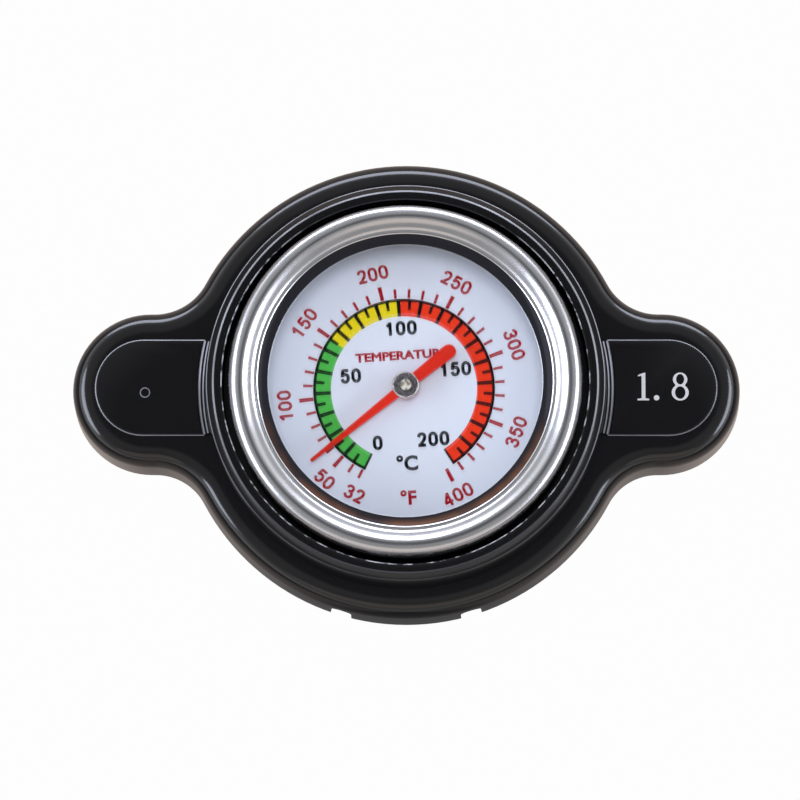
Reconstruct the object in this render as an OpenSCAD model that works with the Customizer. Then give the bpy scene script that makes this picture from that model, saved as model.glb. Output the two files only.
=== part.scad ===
// Pressure cap for a small radiator, with a dial thermometer in its top.
// The frame's origin is on the cap's axis, in the plane where the neck seal meets the
// filler neck's rim. +Z points up through the dial and +X along the wings.

/* [Body] */
// Radius of the round body at its rim
body_r = 25.8; // [25:0.1:28]
// Height of the body from its rim to the collar's top
body_h = 13; // [12:0.1:15]
// Height of the collar above the shoulder
collar_h = 5.8; // [5:0.1:6.5]
// Width of the shoulder from the body's rim in to the collar's foot
shoulder_w = 3.45; // [3:0.05:4]
// Thickness of the collar's wall at its foot
collar_t = 2.15; // [1.8:0.05:2.6]
// Width of the bevel on the collar's top edge
collar_bevel = 0.8; // [0.4:0.1:1]
// Depth of the recess
recess_h = 6.2; // [5.8:0.1:7]
// Thickness of the web under the recess
web_t = 1.4; // [1:0.1:2]
// Radius of the round along the shoulder
edge_r = 2.6; // [2:0.1:2.8]
// Draft of the outer wall in degrees
draft = 3; // [1:0.5:4]
// Thickness of the outer wall at the rim
wall_t = 2; // [1.6:0.1:2.4]
// Thickness of the shoulder over the hollows
roof_t = 2.2; // [1.6:0.1:2.6]
// Thickness of the ring wall round the bayonet shell
ring_t = 1.6; // [1.2:0.1:2]
// Thickness of the ribs in the hollows
rib_t = 1.6; // [1.2:0.1:2]
// Number of ribs round the hollow ring
rib_count = 8; // [4:1:12]
// Width of a rim notch
notch_w = 2.4; // [1.6:0.1:3]
// Height of a rim notch
notch_h = 4; // [3:0.1:4.4]
// Angle of a notch from the cap's front or back, in degrees
notch_angle = 16.5; // [12:0.5:22]

/* [Wings] */
// Length over both wings
wing_span = 75; // [72:0.5:80]
// Radius of a wing's round end
wing_r = 8.9; // [8.4:0.1:9.6]
// Radius of the hollow curve between wing and body
fillet_r = 6.2; // [5:0.1:8]
// Least straight run of a wing's side past that curve
side_run = 0.3; // [0.2:0.1:1]
// Distance of the raised thumb pad from the wing's sides
pad_side = 3.65; // [3.2:0.05:4.2]
// Distance of the pad's round end from the wing's end
pad_margin = 2.6; // [2.6:0.1:3.4]
// Height of the pad above the wing
pad_h = 0.4; // [0.2:0.1:0.6]
// Gap between the pad and the collar
pad_gap = 0.55; // [0.4:0.05:1.2]

/* [Thermometer head] */
// Thickness of the washer under the case
case_gasket_t = 0.4; // [0.3:0.1:0.8]
// Gap between the bezel and the recess
head_gap = 0.75; // [0.4:0.05:1]
// Wall of the bezel round the case's flange
bezel_wall = 0.53; // [0.4:0.01:0.7]
// Thickness of the case's sheet steel
case_t = 0.5; // [0.4:0.1:0.6]
// Width of the case's flange
flange_w = 0.8; // [0.6:0.1:1]
// Height from the dial's face to the flange's top
dial_depth = 3.5; // [3.2:0.1:4]
// Thickness of the dial plate
dial_t = 0.4; // [0.3:0.1:0.6]
// Thickness of the lens gasket
lens_gasket_t = 0.3; // [0.2:0.1:0.5]
// Width of the lens gasket
lens_gasket_w = 1.8; // [1.4:0.1:2]
// Distance of the lens from the flange's edge
lens_margin = 0.5; // [0.3:0.1:0.7]
// Thickness of the lens
lens_t = 1.5; // [1.2:0.1:2]
// Width of the bezel from its edge to its clear opening
bezel_w = 4.35; // [4:0.05:4.8]
// Height of the bezel above the lens
bezel_h = 1.6; // [1.4:0.1:2]
// Radius of the bezel's rolled edge
roll_r = 1.35; // [1.1:0.05:1.4]
// Width of the bezel's dark inner cone
cone_w = 1.3; // [1:0.1:1.6]

/* [Pointer] */
// Gap between the pointer's tip and the bezel's opening
tip_gap = 1.5; // [0.8:0.1:3]
// Length from the spindle to the tail's round end
tail_len = 6.9; // [5:0.1:8]
// Width of the pointer beside the hub
pointer_w = 1; // [0.8:0.1:1.4]
// Width of the pointer's tip
tip_w = 0.3; // [0.2:0.05:0.5]
// Width of the tail's round end
tail_w = 1.5; // [1.2:0.1:2]
// Thickness of the pointer
pointer_t = 0.3; // [0.2:0.05:0.4]
// Height of the pointer's underside above the dial
pointer_lift = 0.9; // [0.6:0.1:1.2]
// Direction of the pointer at rest, in degrees from +X towards +Y
pointer_angle = 218.7; // [0:0.1:360]
// Radius of the hub disc
hub_r = 1.5; // [1.2:0.1:2]
// Thickness of the hub disc
hub_t = 0.5; // [0.4:0.1:0.8]
// Radius of the spindle
spindle_r = 0.6; // [0.5:0.05:0.7]
// Height of the spindle's staked end above the hub
stake_h = 0.15; // [0.1:0.05:0.3]

/* [Stem] */
// Radius of the threaded boss
boss_r = 4.95; // [4.6:0.05:5]
// Depth of the boss below the neck plane
boss_drop = 0.6; // [0.4:0.1:1]
// Outer radius of the sensing stem
stem_r = 3; // [2.9:0.05:3.05]
// Thickness of the stem's wall
stem_t = 0.4; // [0.3:0.05:0.5]
// Depth of the stem's tip below the neck plane
stem_drop = 26; // [25:0.5:32]
// Length of each spindle bush
bush_h = 2; // [1.5:0.1:2.5]
// Depth of the lower bush below the neck plane
lower_bush_drop = 6; // [5:0.1:7]
// Mean radius of the bimetal helix
coil_r = 1.7; // [1.6:0.05:1.8]
// Width of the bimetal strip
strip_w = 1; // [0.8:0.1:1.1]
// Thickness of the bimetal strip
strip_t = 0.3; // [0.2:0.05:0.4]
// Turns of the bimetal helix
coil_turns = 8; // [6:1:9]
// Thickness of the plug that holds the helix
anchor_t = 1.2; // [0.8:0.1:1.6]

/* [Bayonet shell] */
// Inner radius of the shell's skirt
shell_in_r = 18; // [17.8:0.1:18.2]
// Thickness of the shell's sheet steel
shell_t = 0.8; // [0.6:0.1:1]
// Depth of the shell's rim below the neck plane
shell_drop = 7.6; // [7:0.1:9]
// Reach of a cam tab in from the skirt
tab_reach = 2.4; // [2:0.1:2.6]
// Angle that a cam tab covers, in degrees
tab_angle = 50; // [40:1:60]

/* [Neck seals] */
// Gap between the neck seal and the shell's skirt
neck_seal_gap = 1; // [0.6:0.1:1.4]
// Width of the neck seal
neck_seal_w = 4.2; // [3.6:0.1:4.6]
// Thickness of the neck seal
neck_seal_t = 1.6; // [1.2:0.1:2]
// Thickness of the spring steel disc
disc_t = 0.4; // [0.3:0.1:0.6]
// Width of the clamp nut across its flats
nut_af = 14; // [13.6:0.1:14.6]
// Wall of the clamp nut's spigot
spigot_t = 0.5; // [0.4:0.05:0.7]
// Reach of the rolled lip that keeps the guide on the spigot
lip_reach = 1.3; // [1:0.1:1.6]
// Thickness of the rolled lip
lip_t = 0.6; // [0.4:0.1:0.8]

/* [Pressure valve] */
// Thickness of the guide's sheet steel
guide_t = 0.8; // [0.6:0.1:1]
// Inner radius of the guide's tube
guide_in_r = 8; // [7.8:0.1:8.2]
// Gap between the main spring and the guide's tube
spring_gap = 0.8; // [0.7:0.05:1]
// Gap between the main spring and the guide's cup
cup_gap = 0.4; // [0.3:0.05:0.6]
// Depth of the spring cup's lip
cup_h = 1; // [0.6:0.1:1.4]
// Depth of the guide's lower end below the neck plane
guide_drop = 9; // [8.6:0.1:9.4]
// Inner radius of the carrier's neck
carrier_in_r = 5.8; // [5.7:0.05:5.9]
// Thickness of the carrier's flange
carrier_t = 0.8; // [0.6:0.1:1]
// Travel of the pressure valve
lift = 2.8; // [2:0.1:3]
// Margin of the valve plate round the main spring
plate_margin = 0.8; // [0.5:0.1:1.2]
// Thickness of the valve plate
plate_t = 0.6; // [0.5:0.1:0.8]
// Margin of the main seal round the valve plate
main_seal_margin = 0.4; // [0.2:0.1:0.8]
// Thickness of the main seal
main_seal_t = 1.8; // [1.5:0.1:2.2]
// Gap between the main seal's hole and the vacuum valve's sleeve
main_seal_gap = 0.8; // [0.5:0.05:1]
// Wire of the main spring
spring_wire = 1.4; // [1.2:0.1:1.5]
// Turns of the main spring
spring_turns = 3.5; // [3:0.25:3.75]

/* [Vacuum valve] */
// Lap of the vacuum disc on the main seal
vacuum_lap = 2.2; // [1.6:0.1:2.6]
// Thickness of the vacuum disc
vacuum_t = 0.8; // [0.6:0.1:1]
// Wall of the disc's hub outside its groove
vacuum_hub_w = 1.23; // [0.8:0.01:1.6]
// Height of the disc's hub
vacuum_hub_h = 1.8; // [1.6:0.1:2.4]
// Wall of the sleeve
sleeve_t = 0.65; // [0.5:0.05:0.7]
// Wire of the vacuum spring
vacuum_wire = 0.5; // [0.4:0.05:0.5]
// Turns of the vacuum spring
vacuum_turns = 4; // [3:0.5:4]
// Length of the vacuum spring
vacuum_spring_l = 5; // [4.8:0.1:5.4]
// Thickness of the collar washer
vacuum_collar_t = 0.6; // [0.5:0.1:0.8]
// Section radius of the O-ring
o_ring_r = 0.35; // [0.3:0.05:0.4]

/* [Fits] */
// Radial clearance of a pressed or brazed joint
press_gap = 0.02; // [0.01:0.01:0.05]
// Radial clearance of a turning shaft
run_gap = 0.05; // [0.03:0.01:0.1]
// Radial clearance of a sliding sleeve
slide_gap = 0.15; // [0.1:0.01:0.2]
// Radial clearance of a bolt in its hole
bolt_gap = 0.15; // [0.1:0.05:0.3]
// Axial play of the swivelling guide
swivel_gap = 0.15; // [0.1:0.01:0.25]
// Radial clearance of the shell in the body
shell_gap = 0.2; // [0.1:0.05:0.3]

/* [Hidden] */
$fn = 96;

// Heights of the stack, from the neck plane up
disc_z = neck_seal_t;
shell_z = disc_z + disc_t;
web_z = shell_z + shell_t;
floor_z = web_z + web_t;
case_z = floor_z + case_gasket_t;
dial_z = case_z + case_t;
face_z = dial_z + dial_t;
flange_z = face_z + dial_depth;
lens_z = flange_z + lens_gasket_t;
lens_top_z = lens_z + lens_t;
collar_z = floor_z + recess_h;
shoulder_z = collar_z - collar_h;
rim_z = collar_z - body_h;
roof_z = shoulder_z - roof_t;
pointer_z = face_z + pointer_lift;
hub_z = pointer_z + pointer_t;

// Heights of the valve, from the neck plane down
nut_z = -boss_drop;
guide_z = nut_z - swivel_gap;
lip_z = guide_z - guide_t - swivel_gap;
spring_top_z = guide_z - guide_t;
guide_end_z = -guide_drop;
carrier_z = guide_end_z + guide_t + swivel_gap;
plate_z = guide_end_z - lift - swivel_gap;
seal_z = plate_z - plate_t;
vacuum_z = seal_z - main_seal_t;
stem_z = -stem_drop;

// Radii of the head, from the body's rim in to the dial
collar_r = body_r - shoulder_w;
recess_r = collar_r - collar_t;
bezel_r = recess_r - head_gap;
flange_r = bezel_r - bezel_wall - press_gap;
case_r = flange_r - flange_w;
lens_r = flange_r - lens_margin;
lens_gasket_in_r = lens_r - lens_gasket_w;
bezel_open_r = bezel_r - bezel_w;
cone_r = bezel_open_r + cone_w;
pointer_len = bezel_open_r - tip_gap;

// Radii of the neck's parts, from the stem out to the body's hollow
boss_hole_r = boss_r + bolt_gap;
nut_bore_r = boss_r + run_gap;
spigot_r = nut_bore_r + spigot_t;
lip_r = spigot_r + lip_reach;
guide_out_r = guide_in_r + guide_t;
carrier_r = guide_in_r - slide_gap;
neck_r = carrier_in_r + guide_t;
guide_lip_r = neck_r + slide_gap;
sleeve_in_r = stem_r + slide_gap;
sleeve_r = sleeve_in_r + sleeve_t;
plate_hole_r = sleeve_r + slide_gap;
stem_bore_r = stem_r - stem_t;
shell_r = shell_in_r + shell_t;
cavity_r = shell_r + shell_gap;
core_in_r = cavity_r + ring_t;
core_out_r = body_r - wall_t;
neck_seal_r = shell_in_r - neck_seal_gap;
neck_seal_in_r = neck_seal_r - neck_seal_w;
main_spring_r = guide_out_r + spring_gap + spring_wire / 2;
cup_r = main_spring_r + spring_wire / 2 + cup_gap + guide_t / 2;
plate_r = main_spring_r + spring_wire / 2 + plate_margin;
main_seal_r = plate_r + main_seal_margin;
main_seal_in_r = sleeve_r + main_seal_gap;
vacuum_r = main_seal_in_r + vacuum_lap;
vacuum_groove_r = stem_r + run_gap + 2 * o_ring_r + press_gap;
vacuum_hub_r = vacuum_groove_r + vacuum_hub_w;
vacuum_spring_r = (sleeve_r + carrier_in_r) / 2;

// Centre of a wing's round end, and the pad's half width
wing_x = wing_span / 2 - wing_r;
pad_r = wing_r - pad_side;

// Overlap of a cut past the face that it opens
over = 1;
// The hollow curve cuts this far into wing and body, so that the faces cross
bite = 0.02;
// It ends on the wing's straight side, which limits its radius
fillet_room = pow(wing_x - side_run, 2) - pow(body_r, 2) + pow(wing_r, 2);
hollow_r = min(fillet_r, bite + fillet_room / (body_r - wing_r) / 2);
fillet_y = wing_r + hollow_r - bite;
fillet_x = sqrt(pow(body_r + hollow_r - bite, 2) - pow(fillet_y, 2));

// Rings in one turn of a wound wire, and sides of the wire
rings = 8;
sides = 6;

// A tube from a radius in to a radius out, between two heights
module tube(r_in, r_out, z0, z1) {
  translate([0, 0, z0])
    difference() {
      cylinder(r = r_out, h = z1 - z0);
      translate([0, 0, -over]) cylinder(r = r_in, h = z1 - z0 + 2 * over);
    }
}

// Section of the body's outer edge: drafted wall and rounded shoulder, with the rim at x = 0
tangent_z = shoulder_z - edge_r + edge_r * sin(draft);
tangent_x = -(tangent_z - rim_z) * tan(draft);
edge_x = tangent_x - edge_r * cos(draft);
module edge_section(depth) {
  edge_z = shoulder_z - edge_r;
  polygon([
    [-depth, rim_z], [0, rim_z], [tangent_x, tangent_z],
    [edge_x, edge_z], [edge_x, shoulder_z], [-depth, shoulder_z]
  ]);
  translate([edge_x, edge_z]) circle(r = edge_r);
}

// Round solid with the body's edge
module round_block(r) {
  rotate_extrude() translate([r, 0]) edge_section(r);
}

// Bar between the wings' round ends, with the same edge
module wing_bar() {
  translate([-wing_x, 0, 0])
    rotate([90, 0, 90])
      linear_extrude(2 * wing_x)
        for (side = [0, 1]) mirror([side, 0]) translate([wing_r, 0]) edge_section(wing_r);
}

// Corner between wing and body, hollowed by a ring that carries the same edge
module corner_fill() {
  difference() {
    translate([0, 0, rim_z])
      linear_extrude(shoulder_z - rim_z)
        polygon([[0, 0], [fillet_x, 0], [fillet_x, fillet_y]]);
    translate([fillet_x, fillet_y, 0])
      rotate_extrude()
        difference() {
          translate([0, rim_z - over]) square([hollow_r - edge_x, body_h + 2 * over]);
          translate([hollow_r, 0]) mirror([1, 0]) edge_section(2 * edge_r + over);
        }
  }
}

// Solid outline of body and wings, up to the shoulder
module body_block() {
  round_block(body_r);
  wing_bar();
  for (side = [-1, 1]) translate([side * wing_x, 0, 0]) round_block(wing_r);
  for (i = [0, 1], j = [0, 1]) mirror([i, 0, 0]) mirror([0, j, 0]) corner_fill();
}

// Raised thumb pad on the +X wing
module pad() {
  pad_x = wing_span / 2 - pad_margin - pad_r;
  translate([0, 0, roof_z])
    linear_extrude(roof_t + pad_h)
      difference() {
        union() {
          translate([0, -pad_r]) square([pad_x, 2 * pad_r]);
          translate([pad_x, 0]) circle(r = pad_r);
        }
        circle(r = collar_r + pad_gap);
      }
}

// Two hollows under the +X wing, with a rib between them
module wing_hollow() {
  inside_r = wing_r - wall_t;
  translate([0, 0, rim_z - over])
    linear_extrude(roof_z - rim_z + over)
      difference() {
        union() {
          translate([0, -inside_r]) square([wing_x, 2 * inside_r]);
          translate([wing_x, 0]) circle(r = inside_r);
        }
        circle(r = body_r);
        translate([0, -rib_t / 2]) square([wing_span, rib_t]);
      }
}

// Hollow ring under the shoulder, crossed by ribs
module ring_hollow() {
  difference() {
    tube(core_in_r, core_out_r, rim_z - over, roof_z);
    for (i = [0 : rib_count - 1])
      rotate(i * 360 / rib_count)
        translate([0, -rib_t / 2, rim_z - 2 * over])
          cube([body_r, rib_t, body_h]);
  }
}

// Notch with a round top through the outer wall, on the -Y side
module notch() {
  translate([0, -body_r - over, 0])
    rotate([90, 0, 180])
      linear_extrude(wall_t + 2 * over) {
        translate([-notch_w / 2, rim_z - over]) square([notch_w, notch_h - notch_w / 2 + over]);
        translate([0, rim_z + notch_h - notch_w / 2]) circle(r = notch_w / 2);
      }
}

// Moulded body with collar, wings and pads
module cap_body() {
  color("#15161a")
    difference() {
      union() {
        body_block();
        for (side = [0, 1]) mirror([side, 0, 0]) pad();
        rotate_extrude()
          polygon([
            [0, web_z], [collar_r, web_z], [collar_r, shoulder_z],
            [collar_r - collar_bevel / 2, collar_z - collar_bevel],
            [collar_r - 3 / 2 * collar_bevel, collar_z], [0, collar_z]
          ]);
      }
      translate([0, 0, floor_z]) cylinder(r = recess_r, h = recess_h + over);
      cylinder(r = boss_hole_r, h = floor_z + over);
      translate([0, 0, rim_z - over]) cylinder(r = cavity_r, h = web_z - rim_z + over);
      ring_hollow();
      for (side = [0, 1]) mirror([side, 0, 0]) wing_hollow();
      for (back = [0, 180], side = [-1, 1]) rotate(back + side * notch_angle) notch();
    }
}

// Pressed steel shell with two cam tabs under the wings
module bayonet_shell() {
  color("#b9bcc0") {
    tube(boss_hole_r, shell_r, shell_z, web_z);
    tube(shell_in_r, shell_r, -shell_drop, shell_z);
    for (side = [0, 180])
      rotate(side - tab_angle / 2)
        rotate_extrude(angle = tab_angle)
          translate([shell_in_r - tab_reach, -shell_drop]) square([tab_reach + shell_t / 2, shell_t]);
  }
}

// Spring steel disc that presses the neck seal down
module diaphragm_disc() {
  color("#c8c8c4") tube(boss_hole_r, neck_seal_r, disc_z, shell_z);
}

// Rubber ring that bears on the filler neck's rim
module neck_seal() {
  color("#202022") tube(neck_seal_in_r, neck_seal_r, 0, neck_seal_t);
}

// Nut on the boss, with a spigot and a rolled lip for the swivelling guide
module clamp_nut() {
  color("#c2a25a")
    difference() {
      union() {
        translate([0, 0, nut_z])
          cylinder(r = nut_af / 2 / cos(30), h = disc_z - nut_z, $fn = 6);
        translate([0, 0, lip_z - lip_t]) cylinder(r = spigot_r, h = nut_z - lip_z + lip_t);
        translate([0, 0, lip_z - lip_t]) cylinder(r = lip_r, h = lip_t);
      }
      translate([0, 0, lip_z - lip_t - over])
        cylinder(r = nut_bore_r, h = disc_z - lip_z + lip_t + 2 * over);
    }
}

// Rubber washer between case and body
module case_gasket() {
  color("#1c1c1e") tube(boss_hole_r, case_r - case_t, floor_z, case_z);
}

// Pressed steel cup with an outward flange
module thermometer_case() {
  color("#b4b6ba") {
    tube(spindle_r + slide_gap, case_r, case_z, dial_z);
    tube(case_r - case_t, case_r, dial_z, flange_z);
    tube(case_r, flange_r, flange_z - case_t, flange_z);
  }
}

// Printed dial on the case's floor
module dial_plate() {
  color("#ccd3e6") tube(spindle_r + slide_gap, case_r - case_t - slide_gap, dial_z, face_z);
}

// Rubber ring between flange and lens
module lens_gasket() {
  color("#1c1c1e") tube(lens_gasket_in_r, lens_r, flange_z, lens_z);
}

// Flat glass
module lens() {
  color("#dfe8ec", 0.4) translate([0, 0, lens_z]) cylinder(r = lens_r, h = lens_t);
}

// Polished bezel: rolled edge, sloping land, bead and inner cone, crimped under the flange
module bezel_ring() {
  roll_x = bezel_r - roll_r;
  roll_z = lens_top_z + bezel_h - roll_r;
  bead_z = lens_top_z + 2 / 3 * bezel_h;
  crimp_z = flange_z - 2 * case_t;
  color("#d6d9dc")
    rotate_extrude()
      difference() {
        union() {
          polygon([
            [case_r + slide_gap, crimp_z], [bezel_r, crimp_z], [bezel_r, roll_z],
            [roll_x, roll_z + roll_r], [cone_r + case_t, bead_z],
            [cone_r, bead_z], [bezel_open_r, lens_top_z + press_gap],
            [bezel_open_r, lens_top_z], [case_r + slide_gap, lens_top_z]
          ]);
          translate([roll_x, roll_z]) circle(r = roll_r);
        }
        translate([0, flange_z - case_t]) square([flange_r + press_gap, case_t]);
        translate([0, flange_z - over / 10]) square([lens_r + press_gap, lens_top_z - flange_z + over / 10]);
      }
}

// Threaded brass boss brazed under the case
module stem_boss() {
  color("#c2a25a") tube(stem_r + press_gap, boss_r, nut_z, case_z);
}

// Closed sensing stem
module stem_tube() {
  tip = 2 * stem_t;
  color("#bfc2c6")
    rotate_extrude()
      polygon([
        [0, stem_z], [stem_r - tip, stem_z], [stem_r, stem_z + tip], [stem_r, case_z],
        [stem_bore_r, case_z], [stem_bore_r, stem_z + tip], [0, stem_z + tip]
      ]);
}

// Bearing of the spindle inside the stem
module spindle_bush(z0) {
  color("#c2a25a") tube(spindle_r + run_gap, stem_bore_r - press_gap, z0, z0 + bush_h);
}

// Bush under the case
module upper_bush() {
  spindle_bush(case_z - bush_h);
}

// Bush above the bimetal helix
module lower_bush() {
  spindle_bush(-lower_bush_drop - bush_h);
}

// Heights of the helix between the spindle's arm and the plug in the stem's tip
arm_t = strip_w;
arm_z = -lower_bush_drop - bush_h - swivel_gap - arm_t;
anchor_z = stem_z + 2 * stem_t;
coil_top_z = arm_z - swivel_gap;
coil_low_z = anchor_z + anchor_t;

// Path of a wound wire: a straight end, the turns, and another straight end
function wound_path(r, turns, z0, z1, tail) =
  let (steps = turns * rings)
  concat(
    [[r, 0, z0]],
    [for (i = [0 : steps]) let (a = 360 * i / rings)
      [r * cos(a), r * sin(a), z0 + tail + (z1 - z0 - 2 * tail) * i / steps]],
    [[r * cos(360 * turns), r * sin(360 * turns), z1]]
  );

// Direction of a path at one of its points
function heading(path, i) =
  let (d = path[min(i + 1, len(path) - 1)] - path[max(i - 1, 0)]) d / norm(d);

// Ring of a wire's section round a path point, half_r outwards and half_z across
function wire_ring(path, i, half_r, half_z) =
  let (
    p = path[i],
    out = [p[0], p[1], 0] / norm([p[0], p[1]]),
    flat = cross(heading(path, i), out),
    across = flat / norm(flat)
  )
  [for (k = [0 : sides - 1]) let (a = 360 * (k + 0.5) / sides)
    p + out * half_r * cos(a) + across * half_z * sin(a)];

// Least gap between two turns of a wound wire
function least_gap(path, thick) =
  min([for (i = [0 : len(path) - 1], j = [0 : len(path) - 1])
    if (j - i > rings * 0.75) norm(path[j] - path[i]) - thick]);

// One unbroken wire swept along a path
module wound_wire(path, half_r, half_z) {
  count = len(path);
  points = [for (i = [0 : count - 1]) each wire_ring(path, i, half_r, half_z)];
  wall = [for (i = [0 : count - 2], k = [0 : sides - 1])
    let (a = i * sides + k, b = i * sides + (k + 1) % sides)
    each [[a, b, b + sides], [a, b + sides, a + sides]]];
  low = [for (k = [1 : sides - 2]) [0, k + 1, k]];
  high = [for (k = [1 : sides - 2]) (count - 1) * sides * [1, 1, 1] + [0, k, k + 1]];
  polyhedron(points, concat(wall, low, high));
}

// Bimetal helix that turns the spindle
module bimetal_coil() {
  path = wound_path(coil_r, coil_turns, coil_low_z, coil_top_z, strip_w);
  echo(bimetal_coil_gap = least_gap(path, strip_w));
  color("#a89a80") wound_wire(path, strip_t / 2, strip_w / 2);
}

// Plug in the stem's tip that holds the helix
module coil_anchor() {
  color("#c2a25a")
    translate([0, 0, anchor_z]) cylinder(r = stem_bore_r - press_gap, h = anchor_t);
}

// Red pointer with a rounded tail
module pointer() {
  tail_x = tail_len - tail_w / 2;
  color("#e0331f")
    translate([0, 0, pointer_z])
      rotate(pointer_angle)
        linear_extrude(pointer_t)
          difference() {
            union() {
              polygon([
                [-tail_x, -tail_w / 2], [0, -pointer_w / 2], [pointer_len, -tip_w / 2],
                [pointer_len, tip_w / 2], [0, pointer_w / 2], [-tail_x, tail_w / 2]
              ]);
              translate([-tail_x, 0]) circle(r = tail_w / 2);
              circle(r = hub_r);
            }
            circle(r = spindle_r + press_gap);
          }
}

// Hub disc on the pointer
module pointer_hub() {
  color("#33353a") tube(spindle_r + press_gap, hub_r, hub_z, hub_z + hub_t);
}

// Spindle from the staked end down to the arm on the helix
module spindle() {
  color("#c9ccd0") {
    translate([0, 0, arm_z]) cylinder(r = spindle_r, h = hub_z + hub_t + stake_h - arm_z);
    translate([0, 0, arm_z])
      intersection() {
        cylinder(r = coil_r + strip_t, h = arm_t);
        translate([0, -strip_w / 2, 0]) cube([2 * coil_r, strip_w, arm_t]);
      }
  }
}

// Bell that swivels on the nut and holds the pressure valve
module valve_guide() {
  color("#b9bcc0")
    rotate_extrude()
      polygon([
        [spigot_r + run_gap, guide_z], [cup_r, guide_z], [cup_r, spring_top_z - cup_h],
        [cup_r - guide_t / 2, spring_top_z - cup_h], [cup_r - guide_t / 2, spring_top_z],
        [guide_out_r, spring_top_z], [guide_out_r, guide_end_z], [guide_lip_r, guide_end_z],
        [guide_lip_r, guide_end_z + guide_t], [guide_in_r, guide_end_z + guide_t],
        [guide_in_r, spring_top_z], [spigot_r + run_gap, spring_top_z]
      ]);
}

// Pressure spring between guide and valve plate
module main_spring() {
  path = wound_path(main_spring_r, spring_turns, plate_z, spring_top_z, spring_wire);
  echo(main_spring_gap = least_gap(path, spring_wire));
  color("#c4c7ca") wound_wire(path, spring_wire / 2, spring_wire / 2);
}

// Hat that hangs on the guide's lip and carries the valve plate
module valve_carrier() {
  color("#b9bcc0") {
    tube(carrier_in_r, carrier_r, carrier_z, carrier_z + carrier_t);
    tube(carrier_in_r, neck_r, plate_z, carrier_z);
  }
}

// Plate under the main spring
module valve_plate() {
  color("#c8c8c4") tube(plate_hole_r, plate_r, seal_z, plate_z);
}

// Rubber ring on the neck's lower seat
module main_seal() {
  color("#202022") tube(main_seal_in_r, main_seal_r, vacuum_z, seal_z);
}

// Light spring that holds the vacuum valve shut
module vacuum_spring() {
  path = wound_path(vacuum_spring_r, vacuum_turns, plate_z, plate_z + vacuum_spring_l, vacuum_wire);
  echo(vacuum_spring_gap = least_gap(path, vacuum_wire));
  color("#c4c7ca") wound_wire(path, vacuum_wire / 2, vacuum_wire / 2);
}

// Brass disc of the vacuum valve, with a grooved hub
module vacuum_disc() {
  low_z = vacuum_z - vacuum_t - vacuum_hub_h;
  mid_z = vacuum_z - vacuum_t - vacuum_hub_h / 2;
  color("#c2a25a")
    rotate_extrude()
      difference() {
        polygon([
          [sleeve_in_r, low_z], [vacuum_hub_r, low_z], [vacuum_hub_r, vacuum_z - vacuum_t],
          [vacuum_r, vacuum_z - vacuum_t], [vacuum_r, vacuum_z],
          [sleeve_r + press_gap, vacuum_z], [sleeve_r + press_gap, vacuum_z - vacuum_t],
          [sleeve_in_r, vacuum_z - vacuum_t]
        ]);
        translate([0, mid_z - o_ring_r - press_gap])
          square([vacuum_groove_r, 2 * (o_ring_r + press_gap)]);
      }
}

// Tube of the vacuum valve round the stem
module vacuum_sleeve() {
  color("#c2a25a")
    tube(sleeve_in_r, sleeve_r, vacuum_z - vacuum_t, plate_z + vacuum_spring_l + vacuum_collar_t);
}

// Washer that takes the vacuum spring's push
module vacuum_collar() {
  low_z = plate_z + vacuum_spring_l;
  color("#c8c8c4")
    tube(sleeve_r + press_gap, carrier_in_r - slide_gap, low_z, low_z + vacuum_collar_t);
}

// Ring that seals the vacuum valve on the stem
module sleeve_o_ring() {
  color("#202022")
    translate([0, 0, vacuum_z - vacuum_t - vacuum_hub_h / 2])
      rotate_extrude() translate([stem_r + run_gap + o_ring_r, 0]) circle(r = o_ring_r);
}

cap_body();
bayonet_shell();
diaphragm_disc();
neck_seal();
clamp_nut();
case_gasket();
thermometer_case();
dial_plate();
lens_gasket();
lens();
bezel_ring();
stem_boss();
stem_tube();
upper_bush();
lower_bush();
bimetal_coil();
coil_anchor();
pointer();
pointer_hub();
spindle();
valve_guide();
main_spring();
valve_carrier();
valve_plate();
main_seal();
vacuum_spring();
vacuum_disc();
vacuum_sleeve();
vacuum_collar();
sleeve_o_ring();
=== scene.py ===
from math import atan2, cos, degrees, pi, radians, sin, sqrt, tan

import bmesh
import bpy
from mathutils import Matrix, Vector


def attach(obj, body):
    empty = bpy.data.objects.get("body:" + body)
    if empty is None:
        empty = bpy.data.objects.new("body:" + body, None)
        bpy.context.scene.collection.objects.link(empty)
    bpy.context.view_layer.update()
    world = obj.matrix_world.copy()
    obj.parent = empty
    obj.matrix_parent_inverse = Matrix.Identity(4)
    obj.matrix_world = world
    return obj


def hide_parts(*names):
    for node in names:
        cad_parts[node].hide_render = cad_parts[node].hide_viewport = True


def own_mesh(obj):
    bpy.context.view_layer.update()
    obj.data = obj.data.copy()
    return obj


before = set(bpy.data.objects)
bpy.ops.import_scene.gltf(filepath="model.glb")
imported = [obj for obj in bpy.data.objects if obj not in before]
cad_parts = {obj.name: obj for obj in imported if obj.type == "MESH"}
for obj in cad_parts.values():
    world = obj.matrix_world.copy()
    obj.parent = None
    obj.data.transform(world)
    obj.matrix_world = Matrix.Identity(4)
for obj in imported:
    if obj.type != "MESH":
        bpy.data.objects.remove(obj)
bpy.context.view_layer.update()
scene = bpy.context.scene
scene.view_settings.view_transform = "Standard"


# Bayonet shell and spring steel disc
# The shell is pressed from stainless sheet, with two cam tabs that hook under the filler neck.
# A thin hardened disc lies in it and presses the neck seal down. The clamp nut holds both.

def linear(code):
    """Turns an sRGB hex value into the linear colour that a shader takes."""
    parts = [int(code[i:i + 2], 16) / 255 for i in (1, 3, 5)]
    return (*(p / 12.92 if p <= 0.04045 else ((p + 0.055) / 1.055) ** 2.4 for p in parts), 1)


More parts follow.
